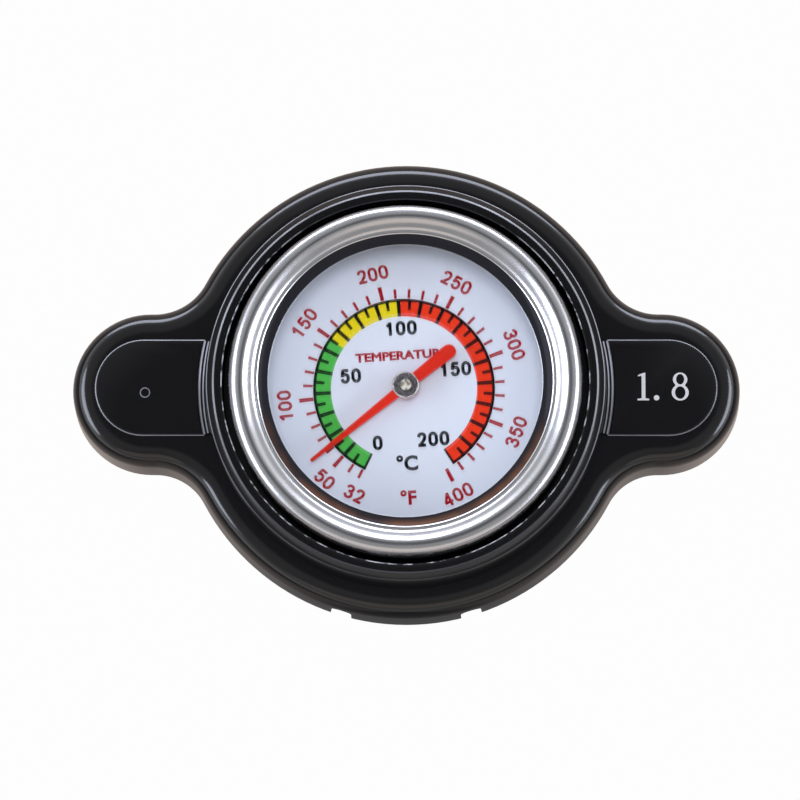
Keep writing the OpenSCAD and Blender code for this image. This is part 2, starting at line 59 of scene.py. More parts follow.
def node(tree, kind, links=(), **settings):
    """Adds a node with its settings, and links or sets the sockets given in links."""
    made = tree.nodes.new(kind)
    for key, value in settings.items():
        setattr(made, key, value)
    for socket, source in dict(links).items():
        if isinstance(source, bpy.types.NodeSocket):
            tree.links.new(source, made.inputs[socket])
        else:
            made.inputs[socket].default_value = source
    return made


def finish(name, **sockets):
    """Starts a material and returns it with its tree and its shader."""
    material = bpy.data.materials.new(name)
    material.use_nodes = True
    tree = material.node_tree
    shader = tree.nodes["Principled BSDF"]
    for key, value in sockets.items():
        shader.inputs[key.replace("_", " ")].default_value = value
    return material, tree, shader


def vary(tree, shader, pattern, tones=None, gloss=None, relief=None):
    """Lets a pattern vary a finish: two tones, two roughnesses, and a relief's strength and height."""
    if tones:
        low, high = tones
        tone = node(tree, "ShaderNodeMix", {0: pattern, 6: linear(low), 7: linear(high)}, data_type="RGBA")
        tree.links.new(tone.outputs[2], shader.inputs["Base Color"])
    if gloss:
        low, high = gloss
        rough = node(tree, "ShaderNodeMapRange", {"Value": pattern, "To Min": low, "To Max": high})
        tree.links.new(rough.outputs["Result"], shader.inputs["Roughness"])
    if relief:
        strength, size = relief
        bump = node(tree, "ShaderNodeBump", {"Height": pattern, "Strength": strength, "Distance": size})
        tree.links.new(bump.outputs["Normal"], shader.inputs["Normal"])


def per_mm(size):
    """Texture scale that gives a pattern of this size in millimetres."""
    return 1000 / size


def dress(material, *names):
    """Gives CAD nodes their finish."""
    for name in names:
        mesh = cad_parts[name].data
        mesh.materials.clear()
        mesh.materials.append(material)


# Cold-rolled stainless sheet: grey, with faint rolling lines along one direction, which are drawn coarser
# than real ones so that they show
sheet_steel, tree, shader = finish("rolled_stainless_sheet", Metallic=1)
place = node(tree, "ShaderNodeTexCoord").outputs["Object"]
along = node(tree, "ShaderNodeMapping", {"Vector": place, "Scale": (0.06, 1, 1)}).outputs["Vector"]
rolled = node(tree, "ShaderNodeTexNoise", {"Vector": along, "Scale": per_mm(0.5), "Detail": 3})
vary(tree, shader, rolled.outputs["Fac"], tones=("#9fa2a6", "#bfc2c5"), gloss=(0.24, 0.42),
     relief=(0.25, 0.00002))
dress(sheet_steel, "bayonet_shell", "thermometer_case", "valve_carrier")

# Hardened spring steel: a little darker and straw coloured, with soft tempering clouds
spring_steel, tree, shader = finish("tempered_spring_steel", Metallic=1)
place = node(tree, "ShaderNodeTexCoord").outputs["Object"]
clouds = node(tree, "ShaderNodeTexNoise", {"Vector": place, "Scale": per_mm(4), "Detail": 4})
vary(tree, shader, clouds.outputs["Fac"], tones=("#8e8f90", "#b3b0a8"), gloss=(0.2, 0.38))
dress(spring_steel, "diaphragm_disc", "vacuum_collar")


# Neck seal and gaskets
# Moulded nitrile rubber rings. The neck seal lies under the disc and meets the filler neck's rim,
# and thin washers of the same rubber lie under the case and under the lens.

mm = 0.001  # meshes are drawn in millimetres


def spun(profile, round_off=0.0, steps=96):
    """Turns a closed section round the cap's axis, with its corners rounded off."""
    bm = bmesh.new()
    verts = [bm.verts.new((r, 0, z)) for r, z in profile]
    for pair in zip(verts, verts[1:] + verts[:1]):
        if pair[0].co.x or pair[1].co.x:
            bm.edges.new(pair)
    if round_off:
        corners = [v for v in verts if v.co.x > 0]
        bmesh.ops.bevel(bm, geom=corners, offset=round_off, segments=3, profile=0.5,
                        affect="VERTICES", material=-1)
    bmesh.ops.spin(bm, geom=bm.verts[:] + bm.edges[:], cent=(0, 0, 0), axis=(0, 0, 1), angle=2 * pi,
                   steps=steps, use_merge=True, use_duplicate=False)
    bmesh.ops.remove_doubles(bm, verts=bm.verts, dist=0.0005)
    return bm


def piece(name, bm, materials, body, slot, *stands_for, sharp=30):
    """Makes an object of a mesh drawn in millimetres, and ties it to the frame."""
    bmesh.ops.recalc_face_normals(bm, faces=bm.faces)
    bmesh.ops.scale(bm, vec=(mm, mm, mm), verts=bm.verts)
    mesh = bpy.data.meshes.new(name)
    bm.to_mesh(mesh)
    bm.free()
    mesh.shade_smooth()
    mesh.set_sharp_from_angle(angle=radians(sharp))
    for material in materials:
        mesh.materials.append(material)
    made = bpy.data.objects.new(name, mesh)
    scene.collection.objects.link(made)
    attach(made, body)
    if stands_for:
        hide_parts(*stands_for)
    return made


# Moulded nitrile rubber: near black and dull, with a grain from the mould, drawn coarse enough to show
rubber, tree, shader = finish("moulded_nitrile_rubber", IOR=1.52)
place = node(tree, "ShaderNodeTexCoord").outputs["Object"]
grain = node(tree, "ShaderNodeTexNoise", {"Vector": place, "Scale": per_mm(0.3), "Detail": 2})
bloom = node(tree, "ShaderNodeTexNoise", {"Vector": place, "Scale": per_mm(5), "Detail": 3})
vary(tree, shader, bloom.outputs["Fac"], tones=("#151516", "#2a2a2b"), gloss=(0.5, 0.72))
vary(tree, shader, grain.outputs["Fac"], relief=(0.3, 0.00003))
dress(rubber, "case_gasket", "lens_gasket", "sleeve_o_ring")

seal_in, flat_in, flat_out, seal_out, bevel_z, seal_top = 12.8, 13.6, 16.2, 17, 0.25, 1.6
neck_seal = spun([(seal_in, bevel_z), (flat_in, 0), (flat_out, 0), (seal_out, bevel_z), (seal_out, seal_top),
                  (seal_in, seal_top)], round_off=0.2)
piece("neck_seal_ring", neck_seal, [rubber], "cap", "black_rubber", "neck_seal")


# Boss, nut and spindle bearings
# Turned brass. The threaded boss is brazed under the case, the nut on it clamps the body and the
# shell, and small bushes and a plug inside the stem hold the spindle and the helix.

# Turned brass: warm yellow, with tool rings round the axis, drawn coarser than real ones so that they show.
# The wave's rings lie 0.3 times the given size apart, here 0.8 mm.
brass, tree, shader = finish("turned_brass", Metallic=1)
place = node(tree, "ShaderNodeTexCoord").outputs["Object"]
rings = node(tree, "ShaderNodeTexWave", {"Vector": place, "Scale": per_mm(2.5), "Distortion": 0.6,
                                         "Detail": 2}, wave_type="RINGS", rings_direction="Z")
stain = node(tree, "ShaderNodeTexNoise", {"Vector": place, "Scale": per_mm(3), "Detail": 4})
vary(tree, shader, stain.outputs["Fac"], tones=("#a5823c", "#d0ae66"), gloss=(0.2, 0.4))
vary(tree, shader, rings.outputs["Fac"], relief=(0.2, 0.00002))
dress(brass, "clamp_nut", "stem_boss", "upper_bush", "lower_bush", "coil_anchor", "vacuum_sleeve")


# Sensing stem
# A thin stainless tube, drawn and closed at its tip, brazed into the boss. It hangs in the coolant
# and carries the helix inside. Its surface has the long lines of the drawing die.

# Drawn stainless: bright, with lines along the tube that are coarser than real ones, so that they show
drawn_steel, tree, shader = finish("drawn_stainless_tube", Metallic=1)
place = node(tree, "ShaderNodeTexCoord").outputs["Object"]
along = node(tree, "ShaderNodeMapping", {"Vector": place, "Scale": (1, 1, 0.04)}).outputs["Vector"]
pulled = node(tree, "ShaderNodeTexNoise", {"Vector": along, "Scale": per_mm(0.4), "Detail": 3})
vary(tree, shader, pulled.outputs["Fac"], tones=("#a9adb1", "#cbced1"), gloss=(0.16, 0.32))

stem_r, bore_r, tip_r = 3, 2.6, 2.1
tip_z, tip_side_z, bore_z, stem_top = -26, -25.1, -25.2, 4.6
stem = spun([(0, tip_z), (tip_r, tip_z), (stem_r, tip_side_z), (stem_r, stem_top), (bore_r, stem_top),
             (bore_r, bore_z), (0, bore_z)], round_off=0.35, steps=64)
piece("sensing_stem", stem, [drawn_steel], "cap", "stamped_stainless", "stem_tube")


# Bimetal helix
# A strip of two rolled metals, wound into a helix inside the stem. Its lower end is held by the plug,
# and its upper end turns the spindle as the coolant warms. It stays out of sight.

def wound(section, turns, steps):
    """Winds a section round the cap's axis. Each entry of turns is a number of turns and their rise."""
    bm = bmesh.new()
    verts = [bm.verts.new((r, 0, z)) for r, z in section]
    bm.faces.new(verts)
    last = bm.verts[:] + bm.edges[:] + bm.faces[:]
    for count, rise in turns:
        number = round(steps * count)
        last = bmesh.ops.spin(bm, geom=last, cent=(0, 0, 0), axis=(0, 0, 1), dvec=(0, 0, rise / number),
                              angle=2 * pi * count, steps=number, use_duplicate=False)["geom_last"]
    bmesh.ops.contextual_create(bm, geom=[e for e in last if isinstance(e, bmesh.types.BMEdge)])
    bmesh.ops.remove_doubles(bm, verts=bm.verts, dist=0.0005)
    return bm


# Rolled bimetal: dull straw grey, with heat stains
bimetal, tree, shader = finish("rolled_bimetal_strip", Metallic=1)
place = node(tree, "ShaderNodeTexCoord").outputs["Object"]
stain = node(tree, "ShaderNodeTexNoise", {"Vector": place, "Scale": per_mm(1.5), "Detail": 3})
vary(tree, shader, stain.outputs["Fac"], tones=("#8d7d62", "#b5a78d"))
helix_in, helix_out, helix_low, helix_high, helix_turns, helix_rise = 1.55, 1.85, -23.8, -22.9, 8, 13.4
ribbon = [(helix_in, helix_low), (helix_out, helix_low), (helix_out, helix_high), (helix_in, helix_high)]
helix = wound(ribbon, [(helix_turns, helix_rise)], steps=32)
piece("bimetal_helix", helix, [bimetal], "cap", "bimetal_strip", "bimetal_coil")


# Cap body
# One moulding in gloss black plastic: a drafted skirt with two wings and a rounded shoulder, a collar
# round the thermometer, raised thumb pads, and ribbed hollows underneath. The nut clamps it.
body_r, wing_r, wing_x = 25.8, 8.9, 28.6
hollow_r = 6.2
hollow_y = wing_r + hollow_r
hollow_x = sqrt((body_r + hollow_r) ** 2 - hollow_y ** 2)
sweep = atan2(hollow_x, hollow_y)
rim_z, shoulder_z, roof_z, web_z, floor_z, collar_z = -2.6, 4.6, 2.4, 2.8, 4.2, 10.4


def arc(bm, start, centre, angle, steps):
    """Carries a vertex round a centre, leaves a line of edges behind it and returns the last one."""
    made = bmesh.ops.spin(bm, geom=[start], cent=(*centre, start.co.z), axis=(0, 0, 1), angle=angle,
                          steps=steps, use_duplicate=False)
    return next(v for v in made["geom_last"] if isinstance(v, bmesh.types.BMVert))


def run(bm, start, x, y):
    """Draws a straight edge from a vertex to a place at the same height."""
    made = bmesh.ops.extrude_vert_indiv(bm, verts=[start])["verts"][0]
    made.co = (x, y, start.co.z)
    return made


def lines(bm):
    """All vertices and edges that are drawn so far."""
    return set(bm.verts[:] + bm.edges[:])


def welded(bm, before, *axes):
    """Mirrors the lines drawn since, welds them where they meet and returns their edges."""
    for axis in axes:
        bmesh.ops.mirror(bm, geom=list(lines(bm) - before), matrix=Matrix.Identity(4), merge_dist=0.0001,
                         axis=axis)
    bmesh.ops.remove_doubles(bm, verts=[v for v in bm.verts if v not in before], dist=0.001)
    return [e for e in bm.edges if e not in before]


def ring(bm, edges, radius, height):
    """Draws a round loop on to another radius and height, with a wall between the two."""
    grown = bmesh.ops.extrude_edge_only(bm, edges=edges)["geom"]
    verts = [g for g in grown if isinstance(g, bmesh.types.BMVert)]
    now = verts[0].co.copy()
    factor = radius / now.xy.length
    bmesh.ops.scale(bm, vec=(factor, factor, 1), verts=verts)
    bmesh.ops.translate(bm, vec=(0, 0, height - now.z), verts=verts)
    return [g for g in grown if isinstance(g, bmesh.types.BMEdge)]


# Outline at the rim: body, hollow curve, wing side and wing end of one quarter, then mirrored
bm = bmesh.new()
point = bm.verts.new((0, body_r, rim_z))
point = arc(bm, point, (0, 0), -sweep, 24)
point = arc(bm, point, (hollow_x, hollow_y), sweep, 20)
point = run(bm, point, wing_x, wing_r)
arc(bm, point, (wing_x, 0), -pi / 2, 20)
rim_edges = welded(bm, set(), "Y", "X")
top = bmesh.ops.contextual_create(bm, geom=rim_edges)["faces"][0]
top.normal_update()
if top.normal.z < 0:
    top.normal_flip()

# Drafted wall and rounded shoulder
draft, edge_r, edge_steps = radians(3), 2.6, 12
wall_h = shoulder_z - edge_r + edge_r * sin(draft) - rim_z
section = [(0, 0), (wall_h * tan(draft), wall_h)]
for i in range(1, edge_steps + 1):
    turn = draft + (pi / 2 - draft) * i / edge_steps
    section.append((wall_h * tan(draft) + edge_r * (cos(draft) - cos(turn)),
                    wall_h + edge_r * (sin(turn) - sin(draft))))
for low, high in zip(section, section[1:]):
    bmesh.ops.inset_region(bm, faces=[top], thickness=high[0] - low[0], depth=high[1] - low[1],
                           use_even_offset=True, use_boundary=True)
rim_edges = [e for e in bm.edges if e.is_boundary]
shoulder_edges = list(top.edges)
bmesh.ops.delete(bm, geom=[top], context="FACES_ONLY")

# Thumb pads: straight sides, a round end, and an arc that follows the collar
pad_r, pad_x, pad_in_r = 5.5, 29.2, 22.9
pad_in_x = sqrt(pad_in_r ** 2 - pad_r ** 2)
pad_turn = 2 * atan2(pad_r, pad_in_x)
before = lines(bm)
point = bm.verts.new((pad_in_x, pad_r, shoulder_z))
point = run(bm, point, pad_x, pad_r)
point = arc(bm, point, (pad_x, 0), -pi, 40)
point = run(bm, point, pad_in_x, -pad_r)
arc(bm, point, (0, 0), pad_turn, 12)
pad_edges = welded(bm, before, "X")

# Collar: its foot's circle, and the flat shoulder between foot, pads and rounded edge
foot_r = 22.35
foot = bmesh.ops.create_circle(bm, segments=192, radius=foot_r,
                               matrix=Matrix.Translation((0, 0, shoulder_z)))
collar_edges = list({e for v in foot["verts"] for e in v.link_edges})
bmesh.ops.triangle_fill(bm, edges=shoulder_edges + pad_edges + collar_edges, use_beauty=True,
                        normal=(0, 0, 1))
# Steps of a pad's rounded edge, inwards and up. The middle one carries a pale line, partly wear and partly a
# painted highlight.
pad_steps, wear_and_highlight_step = ((0.05, 0.19), (0.06, 0.075), (0.1, 0.07), (0.09, 0.04), (0.1, 0.025)), 2
wear_and_highlight_faces = []
for side in (-1, 1):
    loop = [e for e in pad_edges if side * e.verts[0].co.x > 0]
    pad = bmesh.ops.contextual_create(bm, geom=loop)["faces"][0]
    pad.normal_update()
    if pad.normal.z < 0:
        pad.normal_flip()
    for i, (width, rise) in enumerate(pad_steps):
        edge = bmesh.ops.inset_region(bm, faces=[pad], thickness=width, depth=rise, use_even_offset=True,
                                      use_boundary=True)["faces"]
        if i == wear_and_highlight_step:
            wear_and_highlight_faces += edge

# Collar, recess, hole for the boss and hollow for the shell, as one wall that runs down to the rim
recess_r, boss_hole_r, shell_hollow_r = 20.2, 5.1, 19.0
collar_wall = ((22.0, 9.45), (21.96, 9.56), (21.88, 9.66), (21.36, 10.21), (21.27, 10.3), (21.18, 10.36),
               (21.08, 10.39), (20.98, collar_z), (20.33, collar_z), (20.25, 10.37), (recess_r, 10.27))
inner_wall = ((recess_r, floor_z), (boss_hole_r, floor_z), (boss_hole_r, web_z), (shell_hollow_r, web_z),
              (shell_hollow_r, rim_z))
edges = collar_edges
for radius, height in collar_wall + inner_wall:
    edges = ring(bm, edges, radius, height)
# The recess's edge is scuffed, and the edges of the collar's chamfer and of the pads carry a pale line,
# partly wear and partly a painted highlight
scuffed_slot, wear_and_highlight_slot = 1, 2
scuffed_r, scuffed_z, chamfer_z, chamfer_edges = 20.35, 10.28, 9.5, ((21.9, 21.99), (21.1, 21.25))
for face in bm.faces:
    middle = face.calc_center_median()
    reach = middle.xy.length
    if middle.z > scuffed_z and reach < scuffed_r:
        face.material_index = scuffed_slot
    elif middle.z > chamfer_z and any(near < reach < far for near, far in chamfer_edges):
        face.material_index = wear_and_highlight_slot
for face in wear_and_highlight_faces:
    face.material_index = wear_and_highlight_slot

# Hollows under the shoulder: eight round the skirt, and two in each wing
rib, core_in, core_out, inside_r = 0.8, 20.6, 23.8, 6.9
rib_in, rib_out, rib_body, rib_wing = (atan2(rib, sqrt(r * r - rib * rib))
                                       for r in (core_in, core_out, body_r, inside_r))
wing_turn = atan2(inside_r, sqrt(body_r ** 2 - inside_r ** 2))
hole_edges = []
for i in range(8):
    before = lines(bm)
    start, end = i * pi / 4 + rib_in, (i + 1) * pi / 4 - rib_out
    point = bm.verts.new((core_in * cos(start), core_in * sin(start), rim_z))
    first = point
    point = arc(bm, point, (0, 0), pi / 4 - 2 * rib_in, 10)
    point = run(bm, point, core_out * cos(end), core_out * sin(end))
    point = arc(bm, point, (0, 0), 2 * rib_out - pi / 4, 10)
    bm.edges.new((point, first))
    hole_edges.append(welded(bm, before))
for sx, sy in ((1, 1), (1, -1), (-1, 1), (-1, -1)):
    before = lines(bm)
    point = bm.verts.new((sx * body_r * cos(rib_body), sy * rib, rim_z))
    point = run(bm, point, sx * (wing_x + inside_r * cos(rib_wing)), sy * rib)
    point = arc(bm, point, (sx * wing_x, 0), sx * sy * (pi / 2 - rib_wing), 14)
    point = run(bm, point, sx * body_r * cos(wing_turn), sy * inside_r)
    arc(bm, point, (0, 0), sx * sy * (rib_body - wing_turn), 8)
    hole_edges.append(welded(bm, before))
bmesh.ops.triangle_fill(bm, edges=rim_edges + edges + [e for loop in hole_edges for e in loop],
                        use_beauty=True, normal=(0, 0, -1))
for loop in hole_edges:
    grown = bmesh.ops.extrude_edge_only(bm, edges=loop)["geom"]
    bmesh.ops.translate(bm, vec=(0, 0, roof_z - rim_z),
                        verts=[g for g in grown if isinstance(g, bmesh.types.BMVert)])
    bmesh.ops.contextual_create(bm, geom=[g for g in grown if isinstance(g, bmesh.types.BMEdge)])

# Gloss black ABS, moulded in a polished tool: deep black, with a faint ripple in its reflections
black_abs, tree, shader = finish("gloss_moulded_abs", IOR=1.54, Specular_IOR_Level=0.4,
                                Base_Color=linear("#0c0c0e"))
place = node(tree, "ShaderNodeTexCoord").outputs["Object"]
haze = node(tree, "ShaderNodeTexNoise", {"Vector": place, "Scale": per_mm(9), "Detail": 4})
ripple = node(tree, "ShaderNodeTexNoise", {"Vector": place, "Scale": per_mm(2.5), "Detail": 2})
vary(tree, shader, haze.outputs["Fac"], gloss=(0.1, 0.17))
vary(tree, shader, ripple.outputs["Fac"], relief=(0.25, 0.00003))
# Scuffed edge of the same plastic: the skin is rubbed pale in places, less so at the back
scuffed_abs, tree, shader = finish("scuffed_abs_edge", IOR=1.54, Roughness=0.5)
place = node(tree, "ShaderNodeTexCoord").outputs["Object"]
rub_and_highlight_noise = node(tree, "ShaderNodeTexNoise", {"Vector": place, "Scale": per_mm(1), "Detail": 5})
wear_and_painted_light = node(tree, "ShaderNodeMapRange", {"Value": rub_and_highlight_noise.outputs["Fac"], "From Min": 0.46,
                                         "From Max": 0.58})
side = node(tree, "ShaderNodeSeparateXYZ", {0: place})
spared = node(tree, "ShaderNodeMapRange", {"Value": side.outputs["Y"], "From Min": 0.018,
                                           "From Max": 0.012})
wear_and_painted_light = node(tree, "ShaderNodeMath", {0: wear_and_painted_light.outputs["Result"], 1: spared.outputs["Result"]},
            operation="MULTIPLY")
vary(tree, shader, wear_and_painted_light.outputs[0], tones=("#1c1c1f", "#c4c6cc"))
# Edge of the same plastic where hands rub it: a thin pale grey line, partly wear and partly a painted
# highlight, with painted shade that makes it fainter in front
wear_and_highlight_abs, tree, shader = finish("wear_and_painted_highlight_edge", IOR=1.54, Roughness=0.4, Specular_IOR_Level=0.25)
place = node(tree, "ShaderNodeTexCoord").outputs["Object"]
rub_and_highlight_noise = node(tree, "ShaderNodeTexNoise", {"Vector": place, "Scale": per_mm(6), "Detail": 4})
side = node(tree, "ShaderNodeSeparateXYZ", {0: place})
# Painted shade: the pale line fades towards the front, where less light falls
painted_front_shade = node(tree, "ShaderNodeMapRange", {"Value": side.outputs["Y"], "From Min": -0.015, "From Max": 0.002,
                                         "To Min": 0.1})
wear_and_painted_light = node(tree, "ShaderNodeMath", {0: rub_and_highlight_noise.outputs["Fac"], 1: painted_front_shade.outputs["Result"]},
            operation="MULTIPLY")
vary(tree, shader, wear_and_painted_light.outputs[0], tones=("#1c1c1f", "#b8bac2"))
body = piece("cap_moulding", bm, [black_abs, scuffed_abs, wear_and_highlight_abs], "cap", "gloss_black_plastic",
             "cap_body")

# Rim notches: four slots with round tops, cut through the skirt's wall
notch_w, notch_h, notch_turn = 2.4, 4, radians(16.5)
cutter_depth, cutter_in, cutter_under = 3.5, 2.6, 1
bm = bmesh.new()
for turn in (notch_turn, -notch_turn, pi + notch_turn, pi - notch_turn):
    before = lines(bm)
    first = bm.verts.new((notch_w / 2, -cutter_under, 0))
    point = run(bm, first, notch_w / 2, notch_h - notch_w / 2)
    point = arc(bm, point, (0, notch_h - notch_w / 2), pi, 16)
    point = run(bm, point, -notch_w / 2, -cutter_under)
    bm.edges.new((point, first))
    slot_face = bmesh.ops.contextual_create(bm, geom=welded(bm, before))["faces"]
    bmesh.ops.solidify(bm, geom=slot_face, thickness=cutter_depth)
    verts = [v for v in bm.verts if v not in before]
    low = min(v.co.z for v in verts)
    bmesh.ops.rotate(bm, verts=verts, cent=(0, 0, 0), matrix=Matrix.Rotation(pi / 2, 3, "X"))
    bmesh.ops.translate(bm, verts=verts, vec=(0, low - body_r + cutter_in, rim_z))
    bmesh.ops.rotate(bm, verts=verts, cent=(0, 0, 0), matrix=Matrix.Rotation(turn, 3, "Z"))
bmesh.ops.recalc_face_normals(bm, faces=bm.faces)
bmesh.ops.scale(bm, vec=(mm, mm, mm), verts=bm.verts)
cutter_mesh = bpy.data.meshes.new("notch_cutter")
bm.to_mesh(cutter_mesh)
bm.free()
cutter = bpy.data.objects.new("notch_cutter", cutter_mesh)
scene.collection.objects.link(cutter)
cut = body.modifiers.new("rim_notches", "BOOLEAN")
cut.object, cut.operation, cut.solver = cutter, "DIFFERENCE", "EXACT"
notched = bpy.data.meshes.new_from_object(body.evaluated_get(bpy.context.evaluated_depsgraph_get()))
body.modifiers.clear()
body.data = notched
bpy.data.objects.remove(cutter)
notched.set_sharp_from_angle(angle=radians(30))

# Heels of the pads: two small steps up to the collar, with the same pale edge lines of wear and painted
# highlight
heel_steps = [(23.02, 4.95), (22.96, 5.08), (22.86, 5.12), (22.62, 5.13), (22.56, 5.26), (22.46, 5.3),
              (22.3, 5.31), (22.3, 4.9), (23.0, 4.9)]
heel_edges, heel_gap = ((22.86, 23.0), (22.46, 22.6)), 0.012
heel_turn = pad_turn / 2 - heel_gap
for side in (0, pi):
    heel = bmesh.new()
    corners = [heel.verts.new((r * cos(heel_turn), -r * sin(heel_turn), z)) for r, z in heel_steps]
    end = [heel.faces.new(corners)]
    bmesh.ops.spin(heel, geom=end, cent=(0, 0, 0), axis=(0, 0, 1), angle=pad_turn - 2 * heel_gap, steps=24,
                   use_duplicate=False)
    for face in heel.faces:
        reach = face.calc_center_median().xy.length
        face.material_index = int(len(face.verts) == 4
                                  and any(near < reach < far for near, far in heel_edges))
    bmesh.ops.rotate(heel, verts=heel.verts, cent=(0, 0, 0), matrix=Matrix.Rotation(side, 3, "Z"))
    piece("pad_heel_" + ("right" if side == 0 else "left"), heel, [black_abs, wear_and_highlight_abs], "cap",
          "gloss_black_plastic")

# Gate mark: the small raised ring that the mould leaves on one pad
gate_x, gate_y, gate_low, gate_top, gate_wear_and_highlight_z = -29, -0.57, 4.95, 5.05, 5.03
gate = spun([(0.42, gate_low), (0.62, gate_low), (0.57, gate_top), (0.47, gate_top)], round_off=0.02,
            steps=32)
bmesh.ops.translate(gate, vec=(gate_x, gate_y, 0), verts=gate.verts)
# The ring's top takes the same pale line of wear and painted highlight
for face in gate.faces:
    face.material_index = int(face.calc_center_median().z > gate_wear_and_highlight_z)
piece("gate_mark", gate, [black_abs, wear_and_highlight_abs], "cap", "gloss_black_plastic")


# Pressure figure on the pad
# The opening pressure is hot-stamped on one thumb pad in silver foil, as a plain number.

def printed(bm, depth):
    """Gives flat print its thickness, upwards."""
    bmesh.ops.remove_doubles(bm, verts=bm.verts, dist=0.0005)
    for face in bm.faces:
        face.normal_update()
        if face.normal.z < 0:
            face.normal_flip()
    bmesh.ops.solidify(bm, geom=bm.faces[:], thickness=-depth)
    return bm


# Hot-stamped silver foil: pale, with an uneven gloss from the plastic under it
foil, tree, shader = finish("hot_stamped_foil", Metallic=0.6, Base_Color=linear("#e4e5e8"))
place = node(tree, "ShaderNodeTexCoord").outputs["Object"]
broken = node(tree, "ShaderNodeTexNoise", {"Vector": place, "Scale": per_mm(0.4), "Detail": 3})
vary(tree, shader, broken.outputs["Fac"], gloss=(0.4, 0.7))
# Places of the one, the point and the eight along the wing, and of the whole figure on the pad
one_x, point_x, eight_x = 26.57, 28.03, 30.66
shift_x, shrink_y, base_y, pad_top = -0.2, 0.97, -1.44, 5.0
one = [(-0.66, 0), (0.64, 0), (0.64, 0.17), (0.23, 0.26), (0.23, 3.2), (0.09, 3.2), (-0.58, 2.94),
       (-0.58, 2.78), (-0.19, 2.84), (-0.19, 0.26), (-0.66, 0.17)]
point_r, point_y = 0.31, 0.3
# The eight's bowls and their holes, as half width, half height and middle, and the waist between the bowls
bowls, holes = [(0.8, 0.8, 2.42), (0.95, 0.93, 0.91)], [(0.45, 0.6, 2.44), (0.58, 0.72, 0.9)]
waist_low, waist_high = 1.72, 1.78
turns = [2 * pi * k / 32 for k in range(32)]
upper, lower = ([(a * sin(t), y - b * cos(t)) for t in turns] for a, b, y in bowls)
eight = ([p for p in lower[:16] if p[1] < waist_low] + [p for p in upper if p[1] > waist_high]
         + [p for p in lower[16:] if p[1] < waist_low])
outlines = [[(one_x + x, y) for x, y in one],
            [(point_x + point_r * sin(t), point_y - point_r * cos(t)) for t in turns],
            [(eight_x + x, y) for x, y in eight]]
outlines += [[(eight_x + a * sin(t), y - b * cos(t)) for t in turns] for a, b, y in holes]
figure = bmesh.new()
for outline in outlines:
    corners = [figure.verts.new((x + shift_x, shrink_y * y + base_y, pad_top)) for x, y in outline]
    for pair in zip(corners, corners[1:] + corners[:1]):
        figure.edges.new(pair)
bmesh.ops.triangle_fill(figure, edges=figure.edges, use_beauty=True, normal=(0, 0, 1))
piece("pressure_figure", printed(figure, depth=0.02), [foil], "cap", "polished_stainless")


# Dial
# A round aluminium plate, stove enamelled in a cool white and screen printed: a colour band with its
# black scale in degrees Celsius, and a red Fahrenheit scale outside it. It lies on the case's floor.
dial_z = 5.5


def scale_turn(celsius):
    """Angle of a temperature on the dial, in degrees from +X towards +Y."""
    zero, per_degree = 243.25, 1.4948
    return zero - per_degree * celsius


def strip(bm, r_in, r_out, start, end, level):
    """Printed strip between two radii and two angles."""
    verts = [bm.verts.new((r * cos(radians(start)), r * sin(radians(start)), level)) for r in (r_in, r_out)]
    edge = bm.edges.new(verts)
    bmesh.ops.spin(bm, geom=verts + [edge], cent=(0, 0, level), axis=(0, 0, 1), angle=radians(end - start),
                   steps=max(1, round(abs(end - start) / 2)), use_duplicate=False)


def tick(bm, r_in, r_out, turn, width, level):
    """Printed tick of a width in millimetres, along the radius."""
    half = degrees(width / (r_in + r_out))
    strip(bm, r_in, r_out, turn - half, turn + half, level)


def inked(bm, curve, x, y, turn, weight, stretch=1.0):
    """Adds a curve as a thin coat of ink, centred on a place of the dial and turned by degrees."""
    curve.bevel_depth, curve.bevel_resolution, curve.resolution_u = weight, 0, 4
    text = bpy.data.objects.new("lettering", curve)
    mesh = bpy.data.meshes.new_from_object(text)
    bpy.data.objects.remove(text)
    spread = [(min(c), max(c)) for c in zip(*(v.co for v in mesh.vertices))]
    middle = Vector([(low + high) / 2 for low, high in spread])
    coat = 0.006
    mesh.transform(Matrix.Translation((x, y, dial_z + coat)) @ Matrix.Rotation(radians(turn), 4, "Z")
                   @ Matrix.Diagonal((stretch, 1, coat / weight, 1)) @ Matrix.Translation(-middle))
    bm.from_mesh(mesh)
    bpy.data.meshes.remove(mesh)


def lettering(bm, words, height, x, y, turn, weight, stretch=1.0):
    """Adds words in the built-in font."""
    curve = bpy.data.curves.new("lettering", "FONT")
    curve.body = words
    capital = 0.67  # height of a capital in the font's own size
    curve.size = (height - 2 * weight) / capital
    inked(bm, curve, x, y, turn, weight, stretch)


# Strokes of plain figures, across and up. A stroke of more than three points is a smooth curve.
strokes = {
    "0": [[(0, 1), (0.43, 0.83), (0.5, 0.5), (0.43, 0.17), (0, 0), (-0.43, 0.17), (-0.5, 0.5),
           (-0.43, 0.83)]],
    "1": [[(0.12, 1.08), (0.12, -0.1)], [(-0.42, 0.7), (0.14, 0.98)]],
    "2": [[(-0.46, 0.72), (-0.38, 0.9), (0, 1), (0.4, 0.89), (0.44, 0.66), (0.1, 0.3), (-0.36, 0.02)],
          [(-0.62, 0), (0.6, 0)]],
    "3": [[(-0.46, 0.77), (-0.36, 0.92), (0, 1), (0.36, 0.9), (0.38, 0.66), (0.1, 0.54), (-0.16, 0.53)],
          [(0, 0.54), (0.34, 0.47), (0.48, 0.27), (0.36, 0.07), (0, 0), (-0.36, 0.08), (-0.5, 0.26)]],
    "4": [[(0.24, 1.08), (0.24, -0.1)], [(0.2, 1), (-0.52, 0.3)], [(-0.66, 0.27), (0.64, 0.27)]],
    "5": [[(0.56, 0.99), (-0.4, 0.99)], [(-0.3, 1.02), (-0.42, 0.44)],
          [(-0.46, 0.5), (-0.22, 0.61), (0.08, 0.64), (0.42, 0.52), (0.47, 0.22), (0.14, 0), (-0.3, 0.05),
           (-0.5, 0.25)]]}


